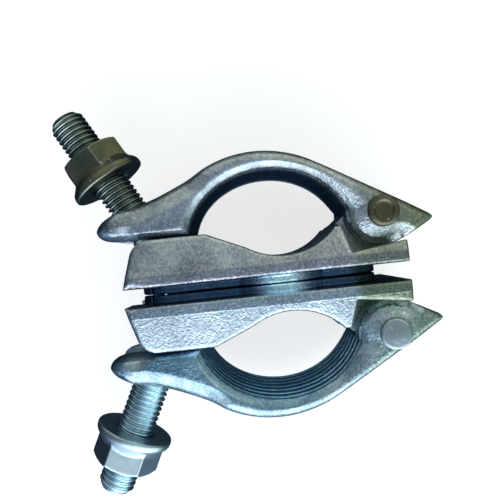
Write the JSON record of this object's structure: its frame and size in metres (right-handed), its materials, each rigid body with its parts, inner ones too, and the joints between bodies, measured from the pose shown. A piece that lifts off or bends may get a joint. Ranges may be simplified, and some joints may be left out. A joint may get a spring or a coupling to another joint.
{
  "type": "scaffold coupler clamp",
  "caption": "Drop-forged zinc-plated swivel scaffold coupler: two half clamps on a central rivet, with hinged flaps, swing T-bolts and flanged nuts.",
  "frame": {"origin": "middle of the coupler's base box, on the surface that it lies on; the swivel axis is 14.29 mm along +X and 25 mm up", "axes": "+X along the base plates from the bolt end to the hinge end, +Y along the swivel rivet from the lower half to the upper half, +Z along the tube bores and up"},
  "size_m": [0.1382, 0.1478, 0.05],
  "materials": {
    "forged_zinc": "bright zinc plate over a pebbled drop-forged surface",
    "rivet_steel": "zinc-plated rivet, upset at its ends",
    "bolt_zinc": "bright zinc-plated rolled thread",
    "nut_zinc": "zinc plate with a faint olive passivation"
  },
  "bodies": {
    "lower_half": {"lower_body": "forged_zinc", "lower_hinge_pin": "rivet_steel", "swivel_rivet": "rivet_steel"},
    "upper_half": {"upper_body": "forged_zinc", "upper_hinge_pin": "rivet_steel"},
    "upper_flap": {"upper_flap": "forged_zinc"},
    "upper_bolt": {"upper_swing_bolt": "bolt_zinc"},
    "upper_nut": {"upper_flange_nut": "nut_zinc"},
    "lower_flap": {"lower_flap": "forged_zinc"},
    "lower_bolt": {"lower_swing_bolt": "bolt_zinc"},
    "lower_nut": {"lower_flange_nut": "nut_zinc"}
  },
  "joints": [
    {"name": "swivel", "type": "hinge", "parent": "lower_half", "child": "upper_half", "pos_m": [0.01429, 0, 0.025], "axis": [0, 1, 0], "continuous": true},
    {"name": "upper_flap_hinge", "type": "hinge", "parent": "upper_half", "child": "upper_flap", "pos_m": [0.04979, 0.0226, 0.025], "axis": [0, 0, -1], "range_deg": [0, 50]},
    {"name": "upper_bolt_swing", "type": "hinge", "parent": "upper_half", "child": "upper_bolt", "pos_m": [-0.02821, 0.0096, 0.025], "axis": [0, 0, 1], "range_deg": [0, 55]},
    {"name": "upper_nut_travel", "type": "slide", "parent": "upper_bolt", "child": "upper_nut", "axis": [-0.5, 0.866, 0], "range_m": [0, 0.0153]},
    {"name": "lower_flap_hinge", "type": "hinge", "parent": "lower_half", "child": "lower_flap", "pos_m": [0.04979, -0.0204, 0.025], "axis": [0, 0, 1], "range_deg": [0, 50]},
    {"name": "lower_bolt_swing", "type": "hinge", "parent": "lower_half", "child": "lower_bolt", "pos_m": [-0.02821, -0.0074, 0.025], "axis": [0, 0, -1], "range_deg": [0, 55]},
    {"name": "lower_nut_travel", "type": "slide", "parent": "lower_bolt", "child": "lower_nut", "axis": [-0.4305, -0.9026, 0], "range_m": [0, 0.0096]}
  ],
  "couplings": [
    {"joint": "upper_bolt_swing", "follows": "upper_flap_hinge", "ratio": 1.1},
    {"joint": "upper_nut_travel", "follows": "upper_flap_hinge", "m_per_rad": 0.0175},
    {"joint": "lower_bolt_swing", "follows": "lower_flap_hinge", "ratio": 1.1},
    {"joint": "lower_nut_travel", "follows": "lower_flap_hinge", "m_per_rad": 0.011}
  ]
}
